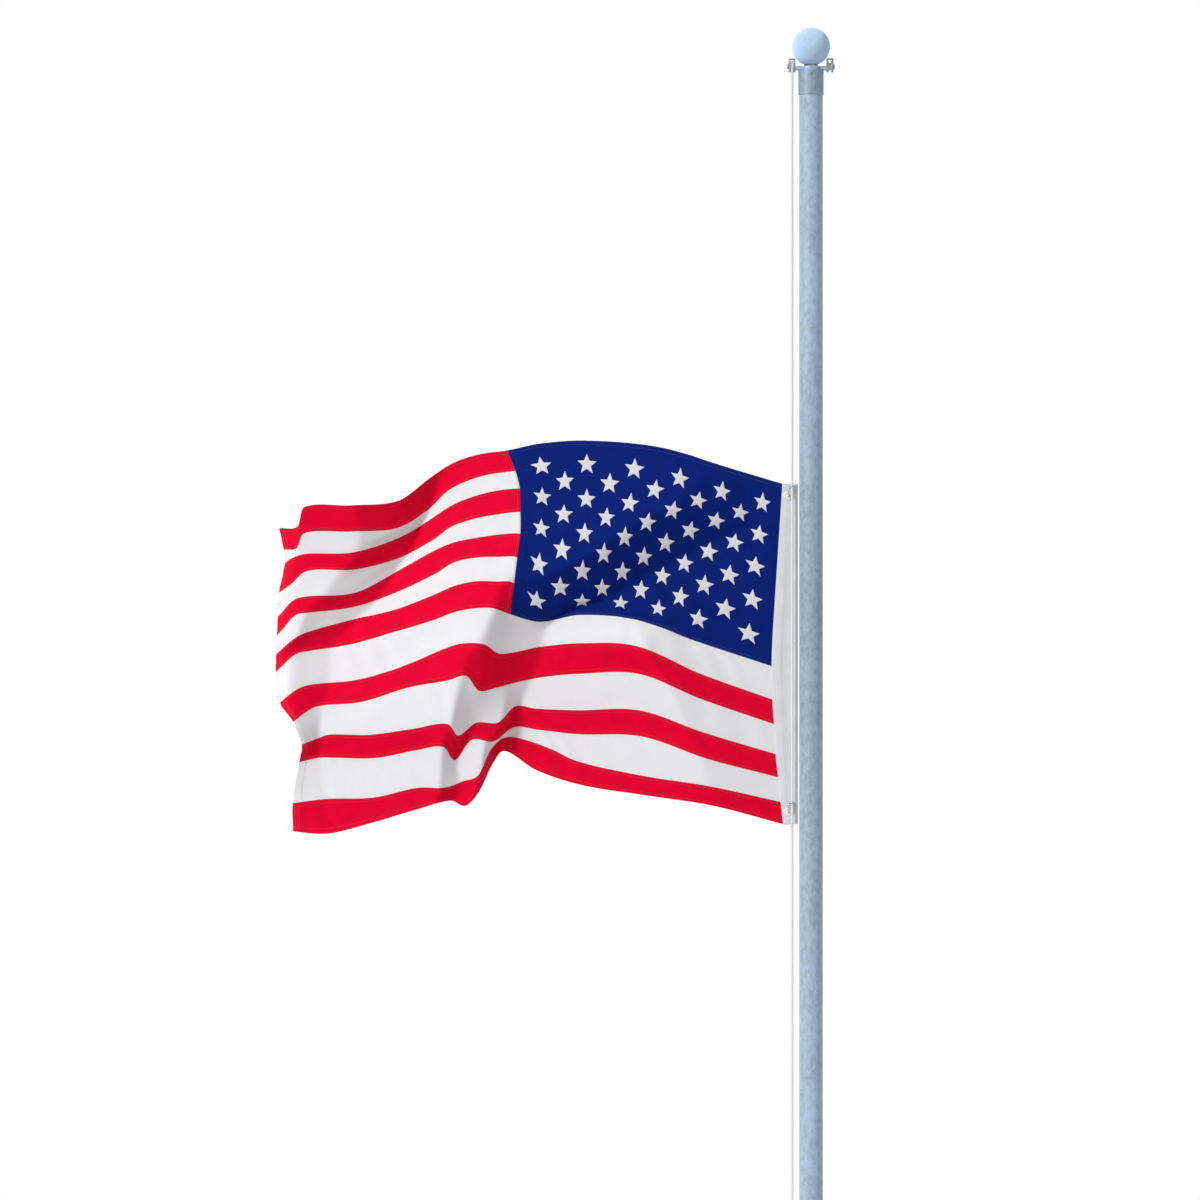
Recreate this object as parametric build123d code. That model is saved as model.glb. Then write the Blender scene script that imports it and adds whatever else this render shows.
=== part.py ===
"""A 15 ft sectional aluminium flagpole with a double truck, ball finial, halyard and hoisted flag.

Millimetres. The origin is the centre of the base's bottom face, +Z is up, the flag flies towards -X
and +Y is behind the pole. The halyard's two falls hang at the pole's -X side, one in front of the
flag's heading and one behind it.
"""
from build123d import *
import math
import os

# ---- shaft ----
POLE_HEIGHT = 4572.0          # top of the shaft above the ground face
POLE_OD = 63.5
POLE_WALL = 3.2
SECTION_LENGTH = 1524.0       # the two middle sections
TOP_SECTION = 310.0           # the short section under the truck
NECK_LENGTH = 120.0           # swaged neck that enters the section above
NECK_WALL = 2.6
NECK_ROOT = 9.6               # length over which the neck joins the section's wall
SLIP_FIT = 0.2                # radial clearance of a pole in a socket or a neck in a section

# ---- base shoe ----
FLANGE_D = 190.0
FLANGE_T = 14.0
BOSS_D = 86.0
BOSS_TOP = 100.0
ANCHOR_PCD = 150.0
ANCHOR_HOLE_D = 16.0
RIB_T = 10.0
RIB_HEIGHT = 60.0
RIB_TOE = 2.0                 # the ribs' outer ends above the flange
BASE_SCREW_D = 10.0
BASE_SCREW_Z = 72.0
BASE_SCREW_STAND = 3.0

# ---- truck ----
COLLAR_OD = 68.0
COLLAR_LAP = 62.0             # length of the collar that covers the shaft
CAP_T = 5.0
HUB_R = 26.0
HUB_T = 9.0
ARM_WIDTH = 24.0
SHEAVE_X = 51.0               # from the pole's axis to the middle of each sheave
SHEAVE_RISE = 14.0            # sheave axis above the shaft's top
SHEAVE_W = 11.0
PITCH_R = 12.5                # from the sheave axis to the middle of the rope
RIM_R = 16.5
RIM_LAND = 1.0                # flat width of each rim
ROPE_SEAT_GAP = 0.3
AXLE_D = 8.0
AXLE_FIT = 0.06               # radial running clearance
SIDE_GAP = 1.0                # between a sheave and its cheeks
CHEEK_T = 2.5
CHEEK_DROP = 15.0             # the cheeks' lower end below the sheave axis
BRIDGE_GAP = 2.5              # over the sheave's rim
BRIDGE_T = 3.0
EAR_TOP_R = 6.0
EAR_FOOT_R = 8.0
AXLE_HEAD_R = 6.5
AXLE_HEAD_T = 3.5
TRUCK_SCREW_D = 6.0
TRUCK_SCREW_DROP = 7.0        # the collar screws' centres below the shaft's top
TRUCK_SCREW_STAND = 1.2

# ---- finial ----
BALL_D = 102.0
BALL_SEAT_R = 14.0
SEAT_NUT_R = 19.0
SEAT_NUT_T = 5.0
SPINDLE_D = 12.0
SPINDLE_IN_BALL = 28.0

# ---- halyard and cleat ----
ROPE_D = 6.0
CLEAT_Z = 1300.0
CLEAT_LENGTH = 170.0
CLEAT_PAD_T = 9.0
CLEAT_PAD_W = 24.0
CLEAT_PAD_H = 84.0
CLEAT_PAD_ROOT = 25.4         # from the pole's axis to where the pad's blank starts, inside the shaft
CLEAT_HORN_D = 15.0
CLEAT_HORN_W = 12.0
CLEAT_HORN_BELLY = 13.5       # from the horns' axis to their outer side, over the stem
CLEAT_HORN_SHOULDER = 5.25    # from the horns' axis to their inner side, halfway to a tip
CLEAT_TIP_T = 0.4
CLEAT_SCREW_D = 6.0
CLEAT_SCREW_PITCH = 62.0
CLEAT_SCREW_HEAD_D = 10.2
CLEAT_SCREW_HEAD_T = 3.0
WRAP_GAP = 0.3                # between neighbouring turns of rope

# ---- flag ----
FLAG_HOIST = 914.0
FLAG_FLY = 1524.0
FLAG_DROP = 1109.0            # the head's hoist corner below the shaft's top
HOIST_X = 73.0                # the coloured cloth's head corner from the pole's axis
HEADING_X = 38.0              # the heading's free edge from the pole's axis
CLOTH_T = 2.0
STRIPES = 13
CANTON_STRIPES = 7
CANTON_SHARE = 0.508          # of the fly
SEAM_GAP = 1.0
GRID_STEP = 12.0              # along the fly, between the points that shape a panel
CREASE_SHIFTS = (-24, -12, 0, 12, 24)   # the places whose mean rounds a crease
NORMAL_STEP = 12.0            # to each side of a point, for the cloth's slope there
GROMMET_INSET = 32.0          # from the heading's ends to the grommets
GROMMET_X = 63.0
GROMMET_R = 10.0
GROMMET_BORE_R = 5.5
GROMMET_LIP = 2.0
GROMMET_LIP_T = 1.0

# ---- snap hooks ----
SNAP_WIRE_D = 4.0
SNAP_EYE_GAP = 1.0            # round the rope
SNAP_RISE = 26.0              # the eye above the grommet
SNAP_NECK = 8.0               # the shank's upper bend below the eye
SNAP_SWAY = 4.0               # the same bend towards the flag from the shank's foot
SNAP_TIP = 9.0                # the turned-down tip behind the grommet
SNAP_BEND_R = 3.5
SNAP_SEAT_GAP = 0.3           # between the hook's wire and the grommet's bore

# The hoisted cloth by its top edge, its seams and its bottom edge, from the head to the foot. A point
# is (out from the hoist, down from the head's corner), one for each share of the fly in STATIONS, all
# for a flag of the drawn hoist and fly.
DRAWN_HOIST = 914.0
DRAWN_FLY = 1524.0
STATIONS = [0, 0.127, 0.254, 0.381, 0.46, 0.508, 0.55, 0.59, 0.63, 0.67, 0.75, 0.83, 0.915, 0.95, 1]
SEAMS = [
    [(0, 0), (160, -48), (335, -100), (530, -118), (658, -110), (744, -92), (808, -84), (868, -68),
     (916, -44), (960, -12), (1040, 46), (1160, 58), (1286, 62), (1306, 114), (1358, 118)],
    [(4, 70), (168, 26), (340, -24), (530, -48), (642, -44), (722, -36), (796, -26), (856, -8),
     (908, 20), (954, 64), (1040, 118), (1156, 128), (1286, 132), (1308, 172), (1346, 176)],
    [(8, 140), (180, 86), (354, 46), (530, 26), (642, 22), (710, 12), (786, 20), (844, 36),
     (900, 60), (948, 92), (1040, 146), (1156, 184), (1284, 188), (1322, 200), (1342, 212)],
    [(12, 208), (196, 148), (370, 114), (534, 96), (644, 88), (708, 76), (774, 82), (834, 94),
     (894, 114), (944, 150), (1040, 200), (1154, 230), (1280, 234), (1322, 258), (1360, 290)],
    [(16, 276), (208, 216), (376, 186), (538, 172), (646, 156), (708, 134), (764, 136), (822, 144),
     (884, 156), (938, 178), (1040, 234), (1152, 292), (1278, 302), (1316, 312), (1360, 332)],
    [(20, 346), (216, 286), (382, 254), (542, 250), (652, 236), (716, 198), (768, 196), (824, 198),
     (884, 210), (938, 242), (1044, 292), (1156, 330), (1276, 346), (1312, 352), (1362, 374)],
    [(24, 418), (230, 358), (388, 322), (542, 312), (656, 312), (726, 266), (776, 262), (828, 262),
     (884, 274), (940, 298), (1046, 338), (1158, 364), (1274, 396), (1312, 412), (1364, 444)],
    [(26, 492), (232, 424), (394, 366), (548, 352), (658, 370), (726, 356), (780, 334), (828, 334),
     (882, 344), (940, 366), (1048, 398), (1160, 430), (1272, 448), (1312, 456), (1364, 498)],
    [(24, 582), (224, 510), (394, 436), (548, 428), (658, 438), (726, 452), (768, 454), (804, 430),
     (864, 428), (914, 444), (1030, 492), (1148, 526), (1266, 538), (1304, 550), (1352, 586)],
    [(20, 648), (222, 578), (390, 510), (556, 510), (656, 520), (724, 534), (770, 546), (818, 554),
     (852, 514), (900, 526), (1008, 546), (1132, 584), (1250, 596), (1282, 612), (1314, 638)],
    [(16, 728), (214, 668), (388, 608), (556, 608), (662, 604), (724, 598), (768, 640), (826, 640),
     (872, 674), (902, 642), (996, 656), (1110, 672), (1218, 672), (1250, 682), (1292, 698)],
    [(10, 790), (206, 738), (382, 678), (556, 672), (664, 660), (726, 654), (778, 690), (838, 686),
     (882, 740), (912, 704), (982, 712), (1094, 734), (1204, 734), (1246, 734), (1300, 746)],
    [(4, 856), (198, 812), (378, 784), (552, 746), (642, 706), (736, 680), (774, 704), (812, 762),
     (850, 792), (904, 812), (986, 814), (1100, 840), (1218, 844), (1258, 848), (1326, 856)],
    [(-2, 916), (192, 864), (374, 836), (548, 808), (668, 768), (748, 718), (782, 750), (816, 820),
     (854, 862), (896, 848), (986, 872), (1098, 906), (1210, 936), (1260, 938), (1318, 932)],
]

# How far back the cloth lies, by its creases at some of the seams, counted from the head. A crease is
# (share of the fly, back) and the cloth is straight from one to the next: the hoist, the fold that
# falls from the head's corner to the foot in its three creases, the fold near the fly in two, the
# turned corner's crest and the fly.
CREASES = {
    0: [(0, 0), (0.02, 0), (0.05, 2), (0.14, 4), (0.665, 36), (0.823, -56), (0.94, -40), (1, 15)],
    2: [(0, 0), (0.03, 2), (0.07, 6), (0.22, -42), (0.74, 22), (0.823, -46), (0.94, -34), (1, 10)],
    4: [(0, 0), (0.08, 4), (0.18, 10), (0.35, -58), (0.785, 6), (0.872, -48), (0.95, -40), (1, -8)],
    6: [(0, 0), (0.17, -10), (0.34, 2), (0.525, -72), (0.855, -12), (0.92, -44), (0.955, -40), (1, -12)],
    7: [(0, 0), (0.21, -34), (0.438, -6), (0.546, -92), (0.846, -26), (0.9, -46), (0.955, -42), (1, -20)],
    8: [(0, 0), (0.235, -56), (0.456, -14), (0.6, -106), (0.87, -40), (0.93, -62), (0.965, -60), (1, -44)],
    9: [(0, 0), (0.19, -48), (0.477, -12), (0.64, -112), (0.9, -50), (0.965, -72), (0.98, -73), (1, -72)],
    10: [(0, 0), (0.16, -42), (0.508, -8), (0.663, -112), (0.93, -54), (0.975, -68), (0.985, -69), (1, -70)],
    11: [(0, 0), (0.14, -38), (0.535, -4), (0.667, -104), (0.93, -52), (0.965, -50), (0.98, -48), (1, -46)],
    13: [(0, 0), (0.12, -30), (0.62, -20), (0.7, -92), (0.93, -46), (0.965, -40), (0.98, -36), (1, -30)],
}

# ---- worked out from the sizes above ----
POLE_R = POLE_OD / 2
BORE_R = POLE_R - POLE_WALL
ROPE_R = ROPE_D / 2
SHEAVE_Z = POLE_HEIGHT + SHEAVE_RISE
CAP_TOP = POLE_HEIGHT + CAP_T
HUB_TOP = CAP_TOP + HUB_T
SEAT_TOP = HUB_TOP + SEAT_NUT_T
BALL_R = BALL_D / 2
BALL_Z = SEAT_TOP + math.sqrt(BALL_R ** 2 - BALL_SEAT_R ** 2)
CHEEK_IN = SHEAVE_X - SHEAVE_W / 2 - SIDE_GAP - CHEEK_T
CHEEK_OUT = SHEAVE_X + SHEAVE_W / 2 + SIDE_GAP + CHEEK_T
AXLE_R = AXLE_D / 2
HORN_X = SHEAVE_X + 2 * ROPE_D + CLEAT_HORN_D / 2
FLAG_HEAD_Z = POLE_HEIGHT - FLAG_DROP
FLAG_FOOT_Z = FLAG_HEAD_Z - FLAG_HOIST
STEM_R = PITCH_R - ROPE_R - ROPE_SEAT_GAP

os.makedirs("parts", exist_ok=True)


def save(name, shape):
    export_step(shape, f"parts/{name}.step")


def cylinder(radius, low, high):
    """A cylinder about Z between two heights."""
    return Pos(0, 0, (low + high) / 2) * Cylinder(radius, high - low)


def cylinder_x(radius, x_from, x_to, z=0.0, y=0.0):
    """A cylinder along X."""
    middle = (x_from + x_to) / 2
    return Pos(middle, y, z) * Rot(0, 90, 0) * Cylinder(radius, abs(x_to - x_from))


def block(x, y, z):
    """A box given by its low and high values along each axis."""
    centre = Pos(sum(x) / 2, sum(y) / 2, sum(z) / 2)
    return centre * Box(x[1] - x[0], y[1] - y[0], z[1] - z[0])


def around(shape, count, first=0.0):
    """Copies of a shape at equal angles about the pole's axis."""
    return [Rot(0, 0, first + 360 * i / count) * shape for i in range(count)]


# ---- base ----
def base_shoe():
    flange = cylinder(FLANGE_D / 2, 0, FLANGE_T)
    boss = cylinder(BOSS_D / 2, 0, BOSS_TOP)
    rib_reach = ANCHOR_PCD / 2 + ANCHOR_HOLE_D / 2
    with BuildSketch(Plane.XZ) as profile:
        with BuildLine():
            Polyline(
                (BOSS_D / 4 + BORE_R / 2, FLANGE_T / 2),
                (rib_reach, FLANGE_T / 2),
                (rib_reach, FLANGE_T + RIB_TOE),
                (BOSS_D / 2, FLANGE_T + RIB_HEIGHT),
                (BOSS_D / 4 + BORE_R / 2, FLANGE_T + RIB_HEIGHT),
                close=True,
            )
        make_face()
    rib = extrude(profile.sketch, RIB_T / 2, both=True)
    shoe = flange + boss + around(rib, 4)
    shoe -= cylinder(POLE_R + SLIP_FIT, FLANGE_T, BOSS_TOP + 1)
    hole = Pos(ANCHOR_PCD / 2, 0, FLANGE_T / 2) * Cylinder(ANCHOR_HOLE_D / 2, FLANGE_T * 2)
    shoe -= around(hole, 4, first=45)
    screw_hole = cylinder_x(BASE_SCREW_D / 2, POLE_R - 1, BOSS_D / 2 + 1, z=BASE_SCREW_Z)
    shoe -= around(screw_hole, 4, first=45)
    return shoe


def base_set_screws():
    screw = cylinder_x(BASE_SCREW_D / 2, POLE_R, BOSS_D / 2 + BASE_SCREW_STAND, z=BASE_SCREW_Z)
    return Compound(around(screw, 4, first=45))


# ---- shaft ----
def pole_section(low, high, neck):
    section = cylinder(POLE_R, low, high) - cylinder(BORE_R, low - 1, high + 1)
    if not neck:
        return section
    neck_r = BORE_R - SLIP_FIT
    stub = cylinder(neck_r, high - NECK_ROOT, high + NECK_LENGTH)
    ring = cylinder(POLE_R - POLE_WALL / 2, high - NECK_ROOT, high)
    bore = cylinder(neck_r - NECK_WALL, high - NECK_ROOT - 1, high + NECK_LENGTH + 1)
    return section + (ring + stub - bore)


# ---- truck ----
def truck_collar():
    collar = cylinder(COLLAR_OD / 2, POLE_HEIGHT - COLLAR_LAP, CAP_TOP)
    collar -= cylinder(POLE_R + SLIP_FIT, POLE_HEIGHT - COLLAR_LAP - 1, POLE_HEIGHT)
    collar -= cylinder(SPINDLE_D / 2, POLE_HEIGHT - 1, CAP_TOP + 1)
    hole = cylinder_x(TRUCK_SCREW_D / 2, POLE_R, COLLAR_OD / 2 + 1, z=POLE_HEIGHT - TRUCK_SCREW_DROP)
    return collar - around(hole, 3, first=-90)


def truck_set_screws():
    tip = COLLAR_OD / 2 + TRUCK_SCREW_STAND
    screw = cylinder_x(TRUCK_SCREW_D / 2, POLE_R, tip, z=POLE_HEIGHT - TRUCK_SCREW_DROP)
    return Compound(around(screw, 3, first=-90))


def truck_head():
    """The hub on the cap, with an arm and a forked ear for a sheave on each side."""
    low = SHEAVE_Z - CHEEK_DROP
    bridge_low = SHEAVE_Z + RIM_R + BRIDGE_GAP
    high = bridge_low + BRIDGE_T
    half = ARM_WIDTH / 2
    ear = block((CHEEK_IN, CHEEK_OUT), (-half, half), (low, high))
    ear = fillet(ear.edges().filter_by(Axis.X).group_by(Axis.Z)[-1], EAR_TOP_R)
    ear = fillet(ear.edges().filter_by(Axis.X).group_by(Axis.Z)[0], EAR_FOOT_R)
    ear -= block((CHEEK_IN + CHEEK_T, CHEEK_OUT - CHEEK_T), (-ARM_WIDTH, ARM_WIDTH), (low - 1, bridge_low))
    ear -= cylinder_x(AXLE_R, CHEEK_IN - 1, CHEEK_OUT + 1, z=SHEAVE_Z)
    arm = block((0, CHEEK_IN), (-half, half), (CAP_TOP, HUB_TOP))
    head = cylinder(HUB_R, CAP_TOP, HUB_TOP) + around(arm + ear, 2)
    return head - cylinder(SPINDLE_D / 2, CAP_TOP - 1, HUB_TOP + 1)


def sheave():
    """A grooved wheel about X, at the right-hand ear."""
    seat_r = ROPE_R + ROPE_SEAT_GAP
    bore_r = AXLE_R + AXLE_FIT
    half = SHEAVE_W / 2
    mouth = half - RIM_LAND
    with BuildSketch(Plane.XY) as profile:
        with BuildLine():
            Polyline((-half, bore_r), (-half, RIM_R), (-mouth, RIM_R), (-seat_r, PITCH_R))
            ThreePointArc((-seat_r, PITCH_R), (0, PITCH_R - seat_r), (seat_r, PITCH_R))
            Polyline((seat_r, PITCH_R), (mouth, RIM_R), (half, RIM_R), (half, bore_r), (-half, bore_r))
        make_face()
    wheel = revolve(profile.sketch, Axis.X)
    return Pos(SHEAVE_X, 0, SHEAVE_Z) * wheel


def sheave_axle():
    """A shoulder bolt through the right-hand ear, its head outside."""
    shank = cylinder_x(AXLE_R, CHEEK_IN, CHEEK_OUT, z=SHEAVE_Z)
    head = cylinder_x(AXLE_HEAD_R, CHEEK_OUT, CHEEK_OUT + AXLE_HEAD_T, z=SHEAVE_Z)
    return shank + head


# ---- finial ----
def finial_ball():
    ball = Pos(0, 0, BALL_Z) * Sphere(BALL_R)
    ball -= cylinder(BALL_R, BALL_Z - BALL_D, SEAT_TOP)
    return ball - cylinder(SPINDLE_D / 2, SEAT_TOP - 1, SEAT_TOP + SPINDLE_IN_BALL)


def finial_spindle():
    return cylinder(SPINDLE_D / 2, POLE_HEIGHT, SEAT_TOP + SPINDLE_IN_BALL)


def finial_seat_nut():
    nut = Pos(0, 0, HUB_TOP) * extrude(RegularPolygon(SEAT_NUT_R, 6), SEAT_NUT_T)
    return nut - cylinder(SPINDLE_D / 2, HUB_TOP - 1, SEAT_TOP + 1)


# ---- cleat ----
def cleat():
    seat_x = -(POLE_R + CLEAT_PAD_T)
    pad = block(
        (seat_x, -CLEAT_PAD_ROOT),
        (-CLEAT_PAD_W / 2, CLEAT_PAD_W / 2),
        (CLEAT_Z - CLEAT_PAD_H / 2, CLEAT_Z + CLEAT_PAD_H / 2),
    )
    pad -= cylinder(POLE_R, CLEAT_Z - CLEAT_PAD_H, CLEAT_Z + CLEAT_PAD_H)
    stem = cylinder_x(STEM_R, seat_x + 1, -HORN_X, z=CLEAT_Z)
    half, tip = CLEAT_LENGTH / 2, CLEAT_TIP_T / 2
    with BuildSketch(Plane.XZ) as outline:
        with BuildLine():
            Spline((-tip, -half), (-CLEAT_HORN_BELLY, 0), (-tip, half))
            Line((-tip, half), (tip, half))
            Spline((tip, half), (CLEAT_HORN_SHOULDER, half / 2), (CLEAT_HORN_D / 2, 0),
                   (CLEAT_HORN_SHOULDER, -half / 2), (tip, -half))
            Line((tip, -half), (-tip, -half))
        make_face()
    horns = Pos(-HORN_X, 0, CLEAT_Z) * extrude(outline.sketch, CLEAT_HORN_W / 2, both=True)
    body = pad + stem + horns
    for side in (-1, 1):
        z = CLEAT_Z + side * CLEAT_SCREW_PITCH / 2
        body -= cylinder_x(CLEAT_SCREW_D / 2, -CLEAT_PAD_ROOT, seat_x - 1, z=z)
    return body


def cleat_screws():
    seat_x = POLE_R + CLEAT_PAD_T
    screws = []
    for side in (-1, 1):
        z = CLEAT_Z + side * CLEAT_SCREW_PITCH / 2
        shank = cylinder_x(CLEAT_SCREW_D / 2, -POLE_R, -seat_x, z=z)
        head = cylinder_x(CLEAT_SCREW_HEAD_D / 2, -seat_x, -seat_x - CLEAT_SCREW_HEAD_T, z=z)
        screws.append(shank + head)
    return Compound(screws)


# ---- halyard: one fixed loop over the left sheave and round the cleat's stem ----
def halyard_fall(side):
    """A straight fall, in front of the heading (-1) or behind it (1)."""
    rope = Pos(-SHEAVE_X, side * PITCH_R, (CLEAT_Z + SHEAVE_Z) / 2)
    return rope * Cylinder(ROPE_R, SHEAVE_Z - CLEAT_Z)


def halyard_bend(z, up):
    """The half turn that joins the falls: over the sheave (up) or under the cleat's stem."""
    ring = Pos(-SHEAVE_X, 0, z) * Rot(0, 90, 0) * Torus(PITCH_R, ROPE_R)
    keep = PITCH_R + ROPE_D
    span = (z, z + keep) if up else (z - keep, z)
    return ring & block((-SHEAVE_X - ROPE_D, -SHEAVE_X + ROPE_D), (-keep, keep), span)


def halyard_cleat_turn():
    """A turn round the cleat's stem, between the falls and the horns."""
    x = -(SHEAVE_X + ROPE_D + WRAP_GAP)
    return Pos(x, 0, CLEAT_Z) * Rot(0, 90, 0) * Torus(PITCH_R, ROPE_R)


# ---- flag ----
def through(knots, points, at):
    """The value at a knot on a smooth curve through points, any number of coordinates each."""
    span = max(i for i in range(len(knots) - 1) if knots[i] <= at or i == 0)
    width = knots[span + 1] - knots[span]
    share = (at - knots[span]) / width

    def slope(i):
        low, high = max(i - 1, 0), min(i + 1, len(knots) - 1)
        reach = knots[high] - knots[low]
        return [(b - a) / reach * width for a, b in zip(points[low], points[high])]

    start, end = slope(span), slope(span + 1)
    s2, s3 = share ** 2, share ** 3
    value = []
    for i, (a, b) in enumerate(zip(points[span], points[span + 1])):
        value.append(
            (2 * s3 - 3 * s2 + 1) * a + (s3 - 2 * s2 + share) * start[i]
            + (3 * s2 - 2 * s3) * b + (s3 - s2) * end[i]
        )
    return value


def at_stripe(rows, seams, stripe):
    """A row of pairs at any count of stripes down, on smooth curves through the rows at the seams."""
    flat = through(seams, [[value for pair in row for value in pair] for row in rows], stripe)
    return list(zip(flat[0::2], flat[1::2]))


def cloth_point(share, stripe):
    """A point of the hoisted cloth, at a share of the fly and a count of stripes down."""
    out, down = through(STATIONS, at_stripe(SEAMS, range(STRIPES + 1), stripe), share)
    creases = at_stripe(list(CREASES.values()), list(CREASES), stripe)
    back = 0
    for shift in CREASE_SHIFTS:
        place = share + shift / FLAG_FLY
        for (low, start), (high, end) in zip(creases, creases[1:]):
            back += (end - start) * min(max((place - low) / (high - low), 0), 1) / len(CREASE_SHIFTS)
    fly, hoist = FLAG_FLY / DRAWN_FLY, FLAG_HOIST / DRAWN_HOIST
    return Vector(-HOIST_X - out * fly, back * hoist, FLAG_HEAD_Z - down * hoist)


def cloth_side(share, stripe, distance):
    """A point off the middle of the cloth: in front of it if the distance is positive."""
    fly_step, stripe_step = NORMAL_STEP / FLAG_FLY, NORMAL_STEP * STRIPES / FLAG_HOIST
    along = cloth_point(share + fly_step, stripe) - cloth_point(share - fly_step, stripe)
    down = cloth_point(share, stripe + stripe_step) - cloth_point(share, stripe - stripe_step)
    return cloth_point(share, stripe) + along.cross(down).normalized() * distance


def smooth_face(grid):
    return Face.make_surface_from_array_of_points(grid, tol=0.1)


def cloth_panel(shares, stripes, rows):
    """A panel of cloth between two shares of the fly and two seams: two smooth faces and the edges."""
    first, last = shares[0] + SEAM_GAP / 2 / FLAG_FLY, shares[1] - SEAM_GAP / 2 / FLAG_FLY
    stripe_inset = SEAM_GAP / 2 * STRIPES / FLAG_HOIST
    head, foot = stripes[0] + stripe_inset, stripes[1] - stripe_inset
    step = GRID_STEP / FLAG_FLY
    inner = [i * step for i in range(math.ceil(first / step + 0.5), math.floor(last / step - 0.5) + 1)]
    along = [first, *inner, last]
    across = [head + (foot - head) * i / rows for i in range(rows + 1)]
    front, back = [
        smooth_face([[cloth_side(share, stripe, distance) for share in along] for stripe in across])
        for distance in (CLOTH_T / 2, -CLOTH_T / 2)
    ]
    edges = [Face.make_surface_from_curves(a, b) for a, b in zip(front.edges(), back.edges())]
    return Solid(Shell([front, back, *edges]))


def flag_heading():
    """The canvas band along the hoist, flat, with a hole for each grommet."""
    edge = [cloth_point(0, STRIPES * i / 6) for i in range(7)]
    inset = SEAM_GAP / 2
    with BuildSketch(Plane.XZ) as outline:
        with BuildLine():
            Spline(*[(p.X + inset, p.Z) for p in edge])
            Polyline(
                (edge[-1].X + inset, edge[-1].Z),
                (-HEADING_X, FLAG_FOOT_Z),
                (-HEADING_X, FLAG_HEAD_Z),
                (edge[0].X + inset, edge[0].Z),
            )
        make_face()
    band = extrude(outline.sketch, CLOTH_T / 2, both=True)
    for z in grommet_heights():
        band -= Pos(-GROMMET_X, 0, z) * Rot(90, 0, 0) * Cylinder(GROMMET_R, CLOTH_T * 4)
    return band


def grommet_heights():
    return FLAG_HEAD_Z - GROMMET_INSET, FLAG_FOOT_Z + GROMMET_INSET


def grommet(z):
    half = CLOTH_T / 2
    barrel = Cylinder(GROMMET_R, CLOTH_T)
    lip = Cylinder(GROMMET_R + GROMMET_LIP, GROMMET_LIP_T)
    offset = half + GROMMET_LIP_T / 2
    ring = barrel + Pos(0, 0, offset) * lip + Pos(0, 0, -offset) * lip
    ring -= Cylinder(GROMMET_BORE_R, CLOTH_T * 5)
    return Pos(-GROMMET_X, 0, z) * Rot(90, 0, 0) * ring


def snap_hook(z):
    """A wire snap: an eye round the front fall, a shank, and a hook through the grommet."""
    wire_r = SNAP_WIRE_D / 2
    eye_r = ROPE_R + SNAP_EYE_GAP + wire_r
    eye_z = z + SNAP_RISE
    eye = Pos(-SHEAVE_X, -PITCH_R, eye_z) * Torus(eye_r, wire_r)
    front = -PITCH_R
    low_x = -(GROMMET_X - GROMMET_BORE_R + wire_r + SNAP_SEAT_GAP)
    path = FilletPolyline(
        (-SHEAVE_X - eye_r, front, eye_z),
        (low_x - SNAP_SWAY, front, eye_z - SNAP_NECK),
        (low_x, front, z),
        (low_x, GROMMET_BORE_R + CLOTH_T, z),
        (low_x, GROMMET_BORE_R + CLOTH_T, z - SNAP_TIP),
        radius=SNAP_BEND_R,
    )
    start = Plane(origin=path @ 0, z_dir=path % 0)
    hook = sweep(start * Circle(wire_r), path)
    return eye + hook


def build():
    lower_top = POLE_HEIGHT - TOP_SECTION - 2 * SECTION_LENGTH
    middle_top = lower_top + SECTION_LENGTH
    upper_top = middle_top + SECTION_LENGTH

    save("base_shoe", base_shoe())
    save("base_set_screws", base_set_screws())
    save("shaft_lower_section", pole_section(FLANGE_T, lower_top, True))
    save("shaft_middle_section", pole_section(lower_top, middle_top, True))
    save("shaft_upper_section", pole_section(middle_top, upper_top, True))
    save("shaft_top_section", pole_section(upper_top, POLE_HEIGHT, False))

    save("truck_collar", truck_collar())
    save("truck_set_screws", truck_set_screws())
    save("truck_head", truck_head())
    for name, turn in (("right", 0), ("left", 180)):
        save(f"{name}_sheave", Rot(0, 0, turn) * sheave())
        save(f"{name}_sheave_axle", Rot(0, 0, turn) * sheave_axle())
    save("finial_spindle", finial_spindle())
    save("finial_seat_nut", finial_seat_nut())
    save("finial_ball", finial_ball())

    save("cleat", cleat())
    save("cleat_screws", cleat_screws())
    save("halyard_front_fall", halyard_fall(-1))
    save("halyard_back_fall", halyard_fall(1))
    save("halyard_sheave_bend", halyard_bend(SHEAVE_Z, True))
    save("halyard_cleat_bend", halyard_bend(CLEAT_Z, False))
    save("halyard_cleat_turn", halyard_cleat_turn())

    save("flag_canton", cloth_panel((0, CANTON_SHARE), (0, CANTON_STRIPES), CANTON_STRIPES * 2))
    for i in range(STRIPES):
        first = CANTON_SHARE if i < CANTON_STRIPES else 0
        save(f"flag_stripe_{i + 1:02d}", cloth_panel((first, 1), (i, i + 1), 3))
    save("flag_heading", flag_heading())
    for name, z in zip(("upper", "lower"), grommet_heights()):
        save(f"{name}_grommet", grommet(z))
        save(f"{name}_snap_hook", snap_hook(z))


build()
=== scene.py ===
"""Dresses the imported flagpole: the hoisted flag's cloth, its hardware, the halyard and every finish.

Metres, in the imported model's frame: the origin is the centre of the base's bottom face, +Z is up and
the flag flies towards -X. The sizes of the cloth, the rope and the hardware are in millimetres below and
are turned into metres where a piece is made. Sizes in the finishes and the camera's place are in metres.
"""
import math

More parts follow.
